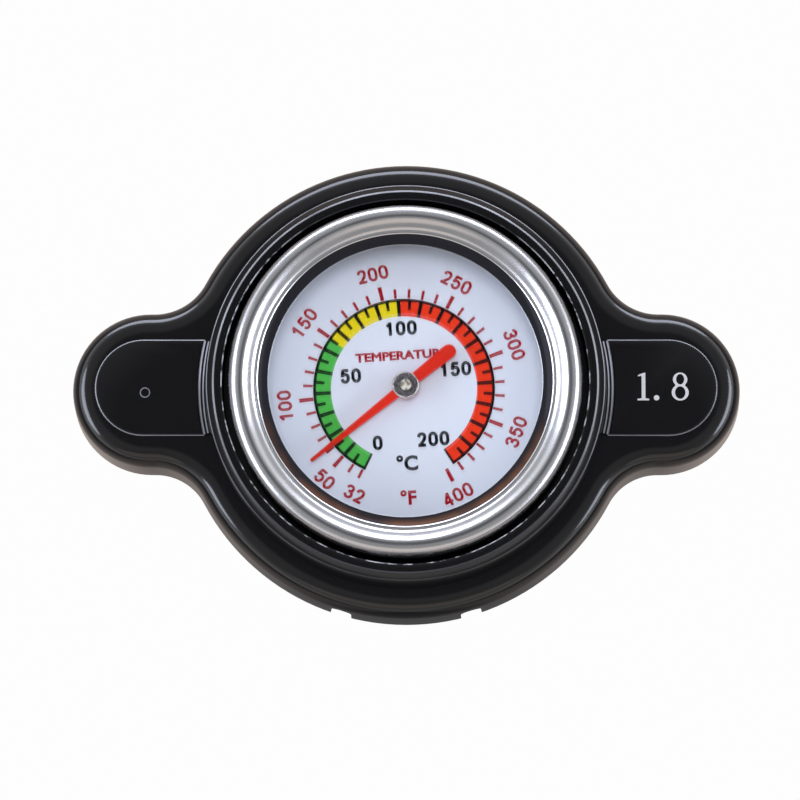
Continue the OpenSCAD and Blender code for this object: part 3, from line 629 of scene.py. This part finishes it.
def figures(bm, number, height, x, y, turn, weight):
    """Adds a number, drawn in strokes of one width. The weight is half of that width."""
    curve = bpy.data.curves.new("figures", "CURVE")
    curve.dimensions, curve.use_fill_caps = "3D", True
    width, pitch = 0.66, 0.76  # of a figure, in figure heights
    tall = height - 2 * weight
    wide = width * height - 2 * weight
    for i, digit in enumerate(number):
        for stroke in strokes[digit]:
            line = curve.splines.new("BEZIER")
            line.bezier_points.add(len(stroke) - 1)
            line.use_cyclic_u = digit == "0"
            for point, (across, up) in zip(line.bezier_points, stroke):
                point.co = pitch * height * i + across * wide, up * tall, 0
                point.handle_left_type = point.handle_right_type = "AUTO" if len(stroke) > 3 else "VECTOR"
    inked(bm, curve, x, y, turn, weight)


# Stove enamel: cool white, with a soft unevenness in its gloss
enamel, tree, shader = finish("stove_enamel_white", IOR=1.5)
place = node(tree, "ShaderNodeTexCoord").outputs["Object"]
soft = node(tree, "ShaderNodeTexNoise", {"Vector": place, "Scale": per_mm(12), "Detail": 3})
vary(tree, shader, soft.outputs["Fac"], tones=("#d6ddec", "#e0e6f2"), gloss=(0.35, 0.5))
dial_in, dial_r, dial_back = 0.75, 17.45, 5.1
dial = spun([(dial_in, dial_back), (dial_r, dial_back), (dial_r, dial_z), (dial_in, dial_z)], round_off=0.04,
            steps=128)
piece("dial_face", dial, [enamel], "cap", "dial_enamel", "dial_plate")


def ink(name, paler, full):
    """Screen printing ink, with the slight unevenness of a squeegee pass."""
    material, tree, shader = finish(name, Roughness=0.55, Specular_IOR_Level=0.06)
    place = node(tree, "ShaderNodeTexCoord").outputs["Object"]
    film = node(tree, "ShaderNodeTexNoise", {"Vector": place, "Scale": per_mm(0.8), "Detail": 3})
    vary(tree, shader, film.outputs["Fac"], tones=(paler, full))
    return material


# The printing sits slightly off the dial's middle, and its upright words lean a little
off_centre, word_lean, ink_depth = (-0.2, -0.18, 0), 3.9, 0.012
band_in, band_out, line_out = 8.1, 9.76, 10.09
for name, paler, full, low, high in (("green", "#57bd55", "#43ad44", 0, 65),
                                    ("yellow", "#ecdc22", "#dfcb10", 65, 100),
                                    ("red", "#f0401f", "#e23018", 100, 200)):
    band = bmesh.new()
    strip(band, band_in, band_out, scale_turn(low), scale_turn(high), dial_z)
    bmesh.ops.translate(band, vec=off_centre, verts=band.verts)
    piece("band_" + name, printed(band, ink_depth), [ink("screen_ink_" + name, paler, full)], "cap",
          "dial_enamel")

black_print = bmesh.new()
over = dial_z + ink_depth
short_in, long_width, short_width, end_width, end_turn = 8.85, 0.4, 0.34, 0.26, 0.8
strip(black_print, band_out, line_out, scale_turn(0), scale_turn(200), over)
for celsius in range(5, 200, 5):
    long = celsius % 10 == 0
    tick(black_print, band_in if long else short_in, band_out, scale_turn(celsius),
         long_width if long else short_width, over)
for celsius, side in ((0, 1), (200, -1)):
    tick(black_print, band_in, line_out, scale_turn(celsius) + side * end_turn, end_width, over)
printed(black_print, ink_depth)
for number, x, y in (("0", -2.9, -6.09), ("50", -5.92, 1.4), ("100", -0.33, 6.77), ("150", 5.71, 2.19),
                     ("200", 3.25, -5.64)):
    figures(black_print, number, height=1.64, x=x, y=y, turn=word_lean, weight=0.18)
lettering(black_print, "\u00b0C", height=1.65, x=0.37, y=-8.32, turn=word_lean, weight=0.085)
bmesh.ops.remove_doubles(black_print, verts=black_print.verts, dist=0.0002)
bmesh.ops.translate(black_print, vec=off_centre, verts=black_print.verts)
piece("print_black", black_print, [ink("screen_ink_black", "#15151a", "#0a0a0e")], "cap", "dial_enamel")

red_print = bmesh.new()
freezing, per_celsius = 32, 1.8
tick_in, major_out, minor_out, major_width, minor_width = 10.14, 11.7, 11.2, 0.42, 0.3
for fahrenheit in [freezing] + list(range(40, 401, 10)):
    major = fahrenheit % 50 == 0
    tick(red_print, tick_in, major_out if major else minor_out,
         scale_turn((fahrenheit - freezing) / per_celsius), major_width if major else minor_width, dial_z)
printed(red_print, ink_depth)
# The numbers stand along the scale, and those in its lower part are turned to be read from below
for number, x, y in (("32", -5.48, -11.77), ("50", -8.76, -10.15), ("100", -13.2, -1.93),
                     ("150", -11.08, 7.37), ("200", -3.5, 12.83), ("250", 5.83, 11.89), ("300", 12.25, 4.92),
                     ("350", 12.44, -4.87), ("400", 5.98, -11.84)):
    lean = scale_turn((int(number) - freezing) / per_celsius)
    lean += -90 if sin(radians(lean)) > -0.2 else 90
    figures(red_print, number, height=1.6, x=x, y=y, turn=lean, weight=0.155)
lettering(red_print, "\u00b0F", height=1.55, x=0.52, y=-12.16, turn=word_lean, weight=0.075)
lettering(red_print, "TEMPERATURE", height=1.0, x=-0.3, y=3.72, turn=word_lean, weight=0.06, stretch=1.18)
bmesh.ops.remove_doubles(red_print, verts=red_print.verts, dist=0.0002)
bmesh.ops.translate(red_print, vec=off_centre, verts=red_print.verts)
piece("print_red", red_print, [ink("screen_ink_dark_red", "#ab1826", "#960e1c")], "cap", "dial_enamel")


# Pointer and hub
# A stamped aluminium pointer, lacquered red, with a round tail. A dark hub disc with a bright rim holds
# it on the spindle, whose end is staked over.
pointer_turn = radians(218.7)
point_end, point_half, tail_end, tail_half = 13.25, 0.2, 6.1, 0.8
eye_r, blade_low, blade_depth, blade_edge = 1.5, 6.4, 0.3, 0.06
needle, tail = 0.37, 0.44  # angles at which needle and tail leave the eye
bm = bmesh.new()
first = bm.verts.new((point_end, point_half, 0))
point = arc(bm, first, (point_end, 0), -pi, 6)
point = run(bm, point, eye_r * cos(needle), -eye_r * sin(needle))
point = arc(bm, point, (0, 0), tail + needle - pi, 16)
point = run(bm, point, -tail_end, -tail_half)
point = arc(bm, point, (-tail_end, 0), -pi, 16)
point = run(bm, point, -eye_r * cos(tail), eye_r * sin(tail))
point = arc(bm, point, (0, 0), tail + needle - pi, 16)
bm.edges.new((point, first))
blade = bmesh.ops.contextual_create(bm, geom=welded(bm, set()))["faces"]
bmesh.ops.solidify(bm, geom=blade, thickness=blade_depth)
low = min(v.co.z for v in bm.verts)
bmesh.ops.translate(bm, vec=(0, 0, blade_low - low), verts=bm.verts)
rim = [e for e in bm.edges if all(v.co.z > blade_low + blade_depth / 2 for v in e.verts)]
bmesh.ops.bevel(bm, geom=rim, offset=blade_edge, segments=2, profile=0.5, affect="EDGES", material=-1)
bmesh.ops.rotate(bm, verts=bm.verts, cent=(0, 0, 0), matrix=Matrix.Rotation(pointer_turn, 3, "Z"))
# Red lacquer over aluminium: clear red and satin, with fine specks
lacquer, tree, shader = finish("red_lacquered_aluminium", IOR=1.5, Specular_IOR_Level=0.2)
place = node(tree, "ShaderNodeTexCoord").outputs["Object"]
specks = node(tree, "ShaderNodeTexNoise", {"Vector": place, "Scale": per_mm(0.5), "Detail": 4})
vary(tree, shader, specks.outputs["Fac"], tones=("#c91c0b", "#dc2a12"), gloss=(0.3, 0.5))
piece("pointer_blade", bm, [lacquer], "pointer", "pointer_red", "pointer")

# Blackened steel: dark grey, with fine bright specks
black_steel, tree, shader = finish("blackened_steel", Metallic=0.8)
place = node(tree, "ShaderNodeTexCoord").outputs["Object"]
specks = node(tree, "ShaderNodeTexNoise", {"Vector": place, "Scale": per_mm(0.22), "Detail": 3})
spots = node(tree, "ShaderNodeMapRange", {"Value": specks.outputs["Fac"], "From Min": 0.4,
                                          "From Max": 0.68})
vary(tree, shader, spots.outputs["Result"], tones=("#39373b", "#8b888a"))
vary(tree, shader, specks.outputs["Fac"], gloss=(0.4, 0.6))
hub_in, hub_r, hub_low, hub_top = 0.62, 1.33, 6.7, 7.08
hub = spun([(hub_in, hub_low), (hub_r, hub_low), (hub_r, hub_top), (hub_in, hub_top)], round_off=0.03,
           steps=48)
piece("hub_disc", hub, [black_steel], "pointer", "hub_black", "pointer_hub")
# Nickel plate on the rim: bright and slightly warm
nickel = finish("bright_nickel_plate", Metallic=1, Base_Color=linear("#e9e5df"), Roughness=0.25)[0]
rim_r, rim_top = 1.5, 7.18
hub_rim = spun([(hub_r, hub_low), (rim_r, hub_low), (rim_r, 7.05), (1.47, 7.1), (1.38, rim_top),
                (hub_r, rim_top)], steps=48)
piece("hub_rim", hub_rim, [nickel], "pointer", "polished_stainless")
# Staked end of the spindle: pale steel, pitted by the punch
staked, tree, shader = finish("staked_steel_end", Metallic=0.5, Roughness=0.6)
place = node(tree, "ShaderNodeTexCoord").outputs["Object"]
pits = node(tree, "ShaderNodeTexNoise", {"Vector": place, "Scale": per_mm(0.45), "Detail": 2})
deep = node(tree, "ShaderNodeMapRange", {"Value": pits.outputs["Fac"], "From Min": 0.4, "From Max": 0.55})
vary(tree, shader, deep.outputs["Result"], tones=("#8a8374", "#e6e2d8"))
vary(tree, shader, pits.outputs["Fac"], relief=(0.6, 0.0001))
dress(staked, "spindle")


# Lens and bezel
# A flat glass lies on its rubber ring, and a polished stainless bezel holds it: the sheet is rolled over
# the case's flange, with a blackened cone inside that ends on the glass.

# Clear float glass, thin enough to let the light through to the dial
glass = finish("float_glass", IOR=1.5, Transmission_Weight=1, Roughness=0.02, Alpha=0.08,
               Base_Color=linear("#f4f8f8"))[0]
lens_r, lens_low, lens_top = 18.4, 9.3, 10.8
lens = spun([(0, lens_low), (lens_r, lens_low), (lens_r, lens_top), (0, lens_top)], round_off=0.12, steps=128)
piece("lens_glass", lens, [glass], "cap", "lens_glass", "lens")

# Polished stainless: bright, with the soft unevenness that buffing leaves
polished, tree, shader = finish("polished_stainless", Metallic=1, Base_Color=linear("#bdbec2"))
place = node(tree, "ShaderNodeTexCoord").outputs["Object"]
buffing = node(tree, "ShaderNodeTexNoise", {"Vector": place, "Scale": per_mm(3), "Detail": 4})
vary(tree, shader, buffing.outputs["Fac"], gloss=(0.2, 0.32), relief=(0.15, 0.00004))
# Black lacquer on the cone: glossy and dark, with a painted brown reflection in patches round its front,
# towards its outer edge
black_lacquer, tree, shader = finish("black_lacquered_steel", IOR=1.5, Specular_IOR_Level=0.04)
place = node(tree, "ShaderNodeTexCoord").outputs["Object"]
haze = node(tree, "ShaderNodeTexNoise", {"Vector": place, "Scale": per_mm(9), "Detail": 3})
patchy = node(tree, "ShaderNodeMapRange", {"Value": haze.outputs["Fac"], "From Min": 0.45, "From Max": 0.62,
                                           "To Min": 0.12})
side = node(tree, "ShaderNodeSeparateXYZ", {0: place})
# Painted reflection: the brown shows only at the cone's front and near its outer edge
paler = node(tree, "ShaderNodeMapRange", {"Value": side.outputs["Y"], "From Min": -0.003, "From Max": -0.01})
flat = node(tree, "ShaderNodeMapping", {"Vector": place, "Scale": (1, 1, 0)})
reach = node(tree, "ShaderNodeVectorMath", {0: flat.outputs["Vector"]}, operation="LENGTH")
outer = node(tree, "ShaderNodeMapRange", {"Value": reach.outputs["Value"], "From Min": 0.0153,
                                          "From Max": 0.0159})
wear_and_painted_light = node(tree, "ShaderNodeMath", {0: paler.outputs["Result"], 1: outer.outputs["Result"]},
            operation="MULTIPLY")
wear_and_painted_light = node(tree, "ShaderNodeMath", {0: wear_and_painted_light.outputs[0], 1: patchy.outputs["Result"]}, operation="MULTIPLY")
vary(tree, shader, wear_and_painted_light.outputs[0], tones=("#212125", "#65432f"))
vary(tree, shader, haze.outputs["Fac"], gloss=(0.08, 0.15))
# Section of the bezel from outside in: hem, roll, slope, groove with a fine bead, cone, and the lens's seat
hem_in, roll_r, roll_x, roll_z = 18.25, 1.35, 18.1, 11.05
hem = [(hem_in, 8), (19.35, 8), (19.45, 8.1)]
roll = [(roll_x + roll_r * cos(a), roll_z + roll_r * sin(a)) for a in (radians(d) for d in range(0, 81, 8))]
slope = [(18.16, 12.392), (18.0, 12.38), (17.9, 12.345), (17.8, 12.285), (17.66, 12.19), (17.5, 12.075),
         (17.36, 11.98), (17.22, 11.9), (17.08, 11.83), (16.94, 11.76), (16.82, 11.685), (16.73, 11.61)]
groove = [(16.66, 11.54), (16.6, 11.51), (16.54, 11.53), (16.46, 11.58), (16.4, 11.6), (16.34, 11.595),
          (16.27, 11.55)]
cone = [(16.2, 11.48), (15.18, 10.88), (15.13, 10.86), (15.1, 10.84), (15.1, lens_top)]
seat = [(18.42, lens_top), (18.42, 9), (18.92, 9), (18.92, 8.5), (hem_in, 8.5)]
bezel = spun(hem + roll + slope + groove + cone + seat, steps=192)
cone_in, cone_out, cone_low = 15.15, 16.22, 10.85
for face in bezel.faces:
    middle = face.calc_center_median()
    face.material_index = int(cone_in < middle.xy.length < cone_out and middle.z > cone_low)
piece("bezel", bezel, [polished, black_lacquer], "cap", "polished_stainless", "bezel_ring", sharp=40)


# Pressure valve
# Pressed steel and rubber under the cap: a bell swivels on the nut, a hat slides in it, and a flat
# plate carries the main seal. The strong spring sits between bell and plate.
bell_in, bell_r, lip_in, cup_r, cup_in, hook_in = 5.55, 11.8, 11.4, 8.8, 8, 6.75
bell_top, bell_under, lip_low, hook_top, cup_low = -0.75, -1.55, -2.55, -8.2, -9
guide = spun([(bell_in, bell_top), (bell_r, bell_top), (bell_r, lip_low), (lip_in, lip_low),
              (lip_in, bell_under), (cup_r, bell_under), (cup_r, cup_low), (hook_in, cup_low),
              (hook_in, hook_top), (cup_in, hook_top), (cup_in, bell_under), (bell_in, bell_under)],
             round_off=0.18)
piece("guide_bell", guide, [sheet_steel], "valve_guide", "stamped_stainless", "valve_guide")
plate_in, plate_r, plate_low, plate_top = 3.95, 11.8, -12.55, -11.95
plate = spun([(plate_in, plate_low), (plate_r, plate_low), (plate_r, plate_top), (plate_in, plate_top)],
             round_off=0.15)
piece("seal_plate", plate, [sheet_steel], "pressure_valve", "stamped_stainless", "valve_plate")
main_in, main_flat, main_r, main_low, main_edge = 4.6, 11.6, 12.2, -14.35, -13.9
main_seal = spun([(main_in, main_low), (main_flat, main_low), (main_r, main_edge), (main_r, plate_low),
                  (main_in, plate_low)], round_off=0.2)
piece("main_seal_ring", main_seal, [rubber], "pressure_valve", "black_rubber", "main_seal")


def coiled(wire_r, coil_r, low, high, open_turns, end_rise, sides, steps):
    """Winds round wire into a spring with closed ends, between two heights."""
    wire = [(coil_r + wire_r * cos(a), low + wire_r + wire_r * sin(a))
            for a in (2 * pi * k / sides for k in range(sides))]
    rise = high - low - 2 * wire_r
    end = (0.75, end_rise)  # turns and rise of each closed end
    return wound(wire, [end, (open_turns, rise - 2 * end_rise), end], steps)


low, high = plate_top, bell_under
main_spring = coiled(wire_r=0.7, coil_r=10.3, low=low, high=high, open_turns=2, end_rise=1.1, sides=12,
                     steps=48)
spring = piece("pressure_spring", main_spring, [spring_steel], "valve_guide", "spring_steel", "main_spring")
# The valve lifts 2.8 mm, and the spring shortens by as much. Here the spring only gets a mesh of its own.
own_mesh(spring)


# Vacuum valve
# A turned brass disc closes the hole in the main seal from below. A tube joins it to a washer above
# the plate, and a light spring under that washer pulls the disc up. An O-ring seals it on the stem.
disc_in, neck_r, disc_r, socket_r = 3.15, 5, 6.8, 3.82
neck_low, disc_low = -16.95, -15.15
disc = spun([(disc_in, neck_low), (neck_r, neck_low), (neck_r, disc_low), (disc_r, disc_low),
             (disc_r, main_low), (socket_r, main_low), (socket_r, disc_low), (disc_in, disc_low)],
            round_off=0.12)
piece("return_disc", disc, [brass], "vacuum_valve", "brass", "vacuum_disc")
low, high = plate_top, -6.95
light_spring = coiled(wire_r=0.25, coil_r=4.8, low=low, high=high, open_turns=2.5, end_rise=0.4, sides=10,
                      steps=32)
spring = piece("return_spring", light_spring, [spring_steel], "pressure_valve", "spring_steel",
               "vacuum_spring")
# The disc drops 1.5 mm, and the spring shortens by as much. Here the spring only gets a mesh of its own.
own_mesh(spring)


# Floor, light and camera
# A white sweep under the cap, in a light tent with a dark opening above. Soft boxes stand behind, beside and
# in front of it, and a fill light hangs over the dial. The camera looks down from slightly in front.
table_z, table_half = -0.0262, 3
floor_mesh = bpy.data.meshes.new("floor")
bm = bmesh.new()
bmesh.ops.create_grid(bm, x_segments=1, y_segments=1, size=table_half)
bmesh.ops.translate(bm, vec=(0, 0, table_z), verts=bm.verts)
bm.to_mesh(floor_mesh)
bm.free()
floor = bpy.data.objects.new("floor", floor_mesh)
scene.collection.objects.link(floor)
# White paper: plain white to the eye, with a small share left to take the cap's shadow. For glossy surfaces
# it glows as a painted reflection, slightly warm, most of it behind and beside the cap, and little in front
# and far away.
sweep_paper = bpy.data.materials.new("white_sweep_paper")
sweep_paper.use_nodes = True
tree = sweep_paper.node_tree
tree.nodes.clear()
ray = node(tree, "ShaderNodeLightPath")
seen = node(tree, "ShaderNodeMath", {0: ray.outputs["Is Camera Ray"], 1: ray.outputs["Is Transmission Ray"]},
            operation="MAXIMUM")
spot = node(tree, "ShaderNodeSeparateXYZ", {0: node(tree, "ShaderNodeTexCoord").outputs["Object"]})
behind = node(tree, "ShaderNodeMapRange", {"Value": spot.outputs["Y"], "From Min": -0.03, "From Max": 0.02,
                                           "To Min": 0.06, "To Max": 0.5})
away = node(tree, "ShaderNodeMath", {0: spot.outputs["X"]}, operation="ABSOLUTE")
beside = node(tree, "ShaderNodeMapRange", {"Value": away.outputs[0], "From Min": 0.015, "From Max": 0.04,
                                           "To Min": 0.05, "To Max": 0.55})
around = node(tree, "ShaderNodeMath", {0: behind.outputs["Result"], 1: beside.outputs["Result"]},
              operation="MAXIMUM")
far = node(tree, "ShaderNodeMapRange", {"Value": away.outputs[0], "From Min": 0.07, "From Max": 0.13,
                                        "To Min": 1, "To Max": 0.12})
around = node(tree, "ShaderNodeMath", {0: around.outputs[0], 1: far.outputs["Result"]}, operation="MULTIPLY")
shine = node(tree, "ShaderNodeMath", {0: ray.outputs["Is Glossy Ray"], 1: around.outputs[0]},
             operation="MULTIPLY")
seen = node(tree, "ShaderNodeMath", {0: seen.outputs[0], 1: shine.outputs[0]}, operation="MAXIMUM")
share = node(tree, "ShaderNodeMath", {0: seen.outputs[0], 1: 0.985}, operation="MULTIPLY")
paper = node(tree, "ShaderNodeBsdfDiffuse", {"Color": linear("#505050")})
tint = node(tree, "ShaderNodeMix", {0: ray.outputs["Is Glossy Ray"], 6: (1, 1, 1, 1), 7: linear("#ffeee4")},
            data_type="RGBA")
glow = node(tree, "ShaderNodeEmission", {"Color": tint.outputs[2], "Strength": 1})
white = node(tree, "ShaderNodeMixShader", {0: share.outputs[0], 1: paper.outputs[0], 2: glow.outputs[0]})
node(tree, "ShaderNodeOutputMaterial", {"Surface": white.outputs[0]})
floor_mesh.materials.append(sweep_paper)

# Light tent: white cloth with a dark opening above, and dimmer and warmer on the camera's side
tent = bpy.data.worlds.new("light_tent")
scene.world = tent
tent.use_nodes = True
tree = tent.node_tree
way = node(tree, "ShaderNodeSeparateXYZ", {0: node(tree, "ShaderNodeTexCoord").outputs["Generated"]})
cloth = node(tree, "ShaderNodeValToRGB", {0: way.outputs["Z"]})
ramp = cloth.color_ramp.elements
ramp[0].position, ramp[0].color = 0.14, (1.9, 1.92, 1.96, 1)
ramp[1].position, ramp[1].color = 0.975, (0.13, 0.13, 0.14, 1)
for stop, level in ((0.34, 0.85), (0.55, 0.52), (0.9, 0.45)):
    ramp.new(stop).color = level, level, level, 1
front = node(tree, "ShaderNodeMapRange", {"Value": way.outputs["Y"], "From Min": -0.98, "From Max": -0.5})
side = node(tree, "ShaderNodeMix", {0: front.outputs["Result"], 6: (0.5, 0.47, 0.45, 1), 7: (1, 1, 1, 1)},
            data_type="RGBA")
light = node(tree, "ShaderNodeMix", {0: 1.0, 6: cloth.outputs["Color"], 7: side.outputs[2]}, data_type="RGBA",
             blend_type="MULTIPLY")
tree.links.new(light.outputs[2], tree.nodes["Background"].inputs["Color"])


def soft_box(name, place, size, power, colour):
    """Large soft light that faces the dial."""
    lamp = bpy.data.lights.new(name, "AREA")
    lamp.shape, lamp.size, lamp.size_y = "ELLIPSE", *size
    lamp.energy = power
    lamp.color = linear(colour)[:3]
    made = bpy.data.objects.new(name, lamp)
    made.location = place
    made.rotation_euler = (-Vector(place)).to_track_quat("-Z", "Y").to_euler()
    scene.collection.objects.link(made)
    return made


soft_box("back_strip", place=(0, 0.88, 0.14), size=(1.4, 0.28), power=7, colour="#e4eaff")
soft_box("left_box", place=(-0.82, -0.06, 0.35), size=(0.9, 0.28), power=5.6, colour="#e4ebff")
soft_box("right_box", place=(0.84, -0.08, 0.31), size=(0.9, 0.25), power=4.8, colour="#eaefff")
soft_box("front_panel", place=(0, -0.8, 0.42), size=(1.2, 0.3), power=0.65, colour="#ffeede")
# Fill light for the dial, which doesn't show in the polished metal
fill = soft_box("fill", place=(0, 0.05, 0.9), size=(0.36, 0.36), power=3.6, colour="#f4f6ff")
fill.visible_glossy = False

image_px, sensor_mm, distance, px_per_mm = 800, 36, 0.5, 8.93
to_camera = Vector((0.012, -0.136, 0.9906)).normalized()
aim = Vector((-0.0007, -0.00085, 0.001))
camera_data = bpy.data.cameras.new("camera")
camera_data.sensor_width = sensor_mm
camera_data.lens = px_per_mm * 1000 * distance * sensor_mm / image_px
across = (Vector((1, 0, 0)) - to_camera * to_camera.x).normalized()
up = to_camera.cross(across)
camera = bpy.data.objects.new("camera", camera_data)
turned = Matrix((across, up, to_camera)).transposed().to_4x4()
camera.matrix_world = Matrix.Translation(aim + to_camera * distance) @ turned
scene.collection.objects.link(camera)
scene.camera = camera
